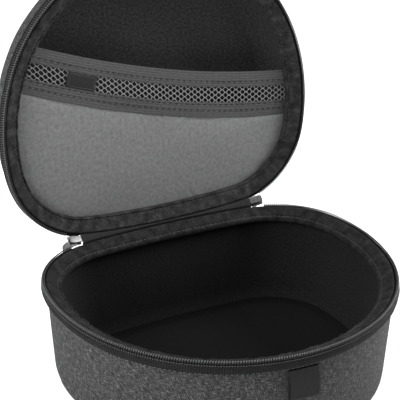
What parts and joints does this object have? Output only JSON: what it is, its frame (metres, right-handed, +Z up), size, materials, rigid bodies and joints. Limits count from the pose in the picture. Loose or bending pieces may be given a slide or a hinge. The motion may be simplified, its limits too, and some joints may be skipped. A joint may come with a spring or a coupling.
{
  "type": "headphone carrying case",
  "caption": "Zippered hard-shell headphone case, open: deep padded base, hinged lid with a net and stretch pocket, curved zip rim and a front webbing loop.",
  "frame": {"origin": "centre of the base's flat underside", "axes": "+X along the hinge, -Y towards the front loop, +Z up"},
  "size_m": [0.2396, 0.2538, 0.2825],
  "materials": {
    "shell_fabric": "melange canvas laminated on moulded foam, matt",
    "lining": "short black fleece, matt",
    "binding": "ribbed woven binding over foam",
    "zip_tape": "herringbone woven zip tape",
    "zip_coil": "satin nylon coil",
    "webbing": "plain woven webbing",
    "elastic": "ribbed woven elastic",
    "net": "open knitted net",
    "jersey": "fine stretch jersey, matt",
    "label": "satin woven label, blank",
    "slider_metal": "nickel-plated die-cast, satin"
  },
  "bodies": {
    "base": {"base_shell": "shell_fabric", "base_wall_lining": "lining", "base_floor_lining": "lining", "base_binding": "binding", "base_zip_tape": "zip_tape", "base_zip_coil": "zip_coil", "hinge_strip": "zip_tape"},
    "lid": {"lid_shell": "shell_fabric", "lid_wall_lining": "lining", "lid_ceiling_lining": "lining", "lid_binding": "binding", "lid_zip_tape": "zip_tape", "lid_zip_coil": "zip_coil", "pocket_top_elastic": "elastic", "pocket_net": "net", "pocket_lower_elastic": "elastic", "pocket_panel": "jersey", "pocket_label": "label"},
    "loop": {"front_loop": "webbing"},
    "left_slider": {"left_slider_body": "slider_metal", "left_slider_bridge": "slider_metal"},
    "left_pull": {"left_puller": "slider_metal"},
    "right_slider": {"right_slider_body": "slider_metal", "right_slider_bridge": "slider_metal"},
    "right_pull": {"right_puller": "slider_metal"}
  },
  "joints": [
    {"name": "lid_hinge", "type": "hinge", "parent": "base", "child": "lid", "pos_m": [0, 0.09996, 0.08], "axis": [-1, 0, 0], "range_deg": [-92.5, 27.5], "deforming": ["hinge_strip"]},
    {"name": "left_slider_turn", "type": "hinge", "parent": "base", "child": "left_slider", "pos_m": [0, 0.09996, 0.08], "axis": [-1, 0, 0], "range_deg": [-46.25, 13.75]},
    {"name": "left_puller_swing", "type": "hinge", "parent": "left_slider", "child": "left_pull", "pos_m": [-0.07476, 0.10026, 0.07969], "axis": [0, 0.7224, 0.6915], "range_deg": [-85, 85]},
    {"name": "right_slider_turn", "type": "hinge", "parent": "base", "child": "right_slider", "pos_m": [0, 0.09996, 0.08], "axis": [-1, 0, 0], "range_deg": [-46.25, 13.75]},
    {"name": "right_puller_swing", "type": "hinge", "parent": "right_slider", "child": "right_pull", "pos_m": [0.07476, 0.10026, 0.07969], "axis": [0, 0.7224, 0.6915], "range_deg": [-85, 85]},
    {"name": "front_loop_swing", "type": "hinge", "parent": "base", "child": "loop", "pos_m": [-0.00882, -0.10032, 0.0684], "axis": [-0.9971, 0.0758, 0], "range_deg": [0, 70]}
  ],
  "couplings": [
    {"joint": "left_slider_turn", "follows": "lid_hinge", "ratio": 0.5},
    {"joint": "right_slider_turn", "follows": "lid_hinge", "ratio": 0.5}
  ]
}
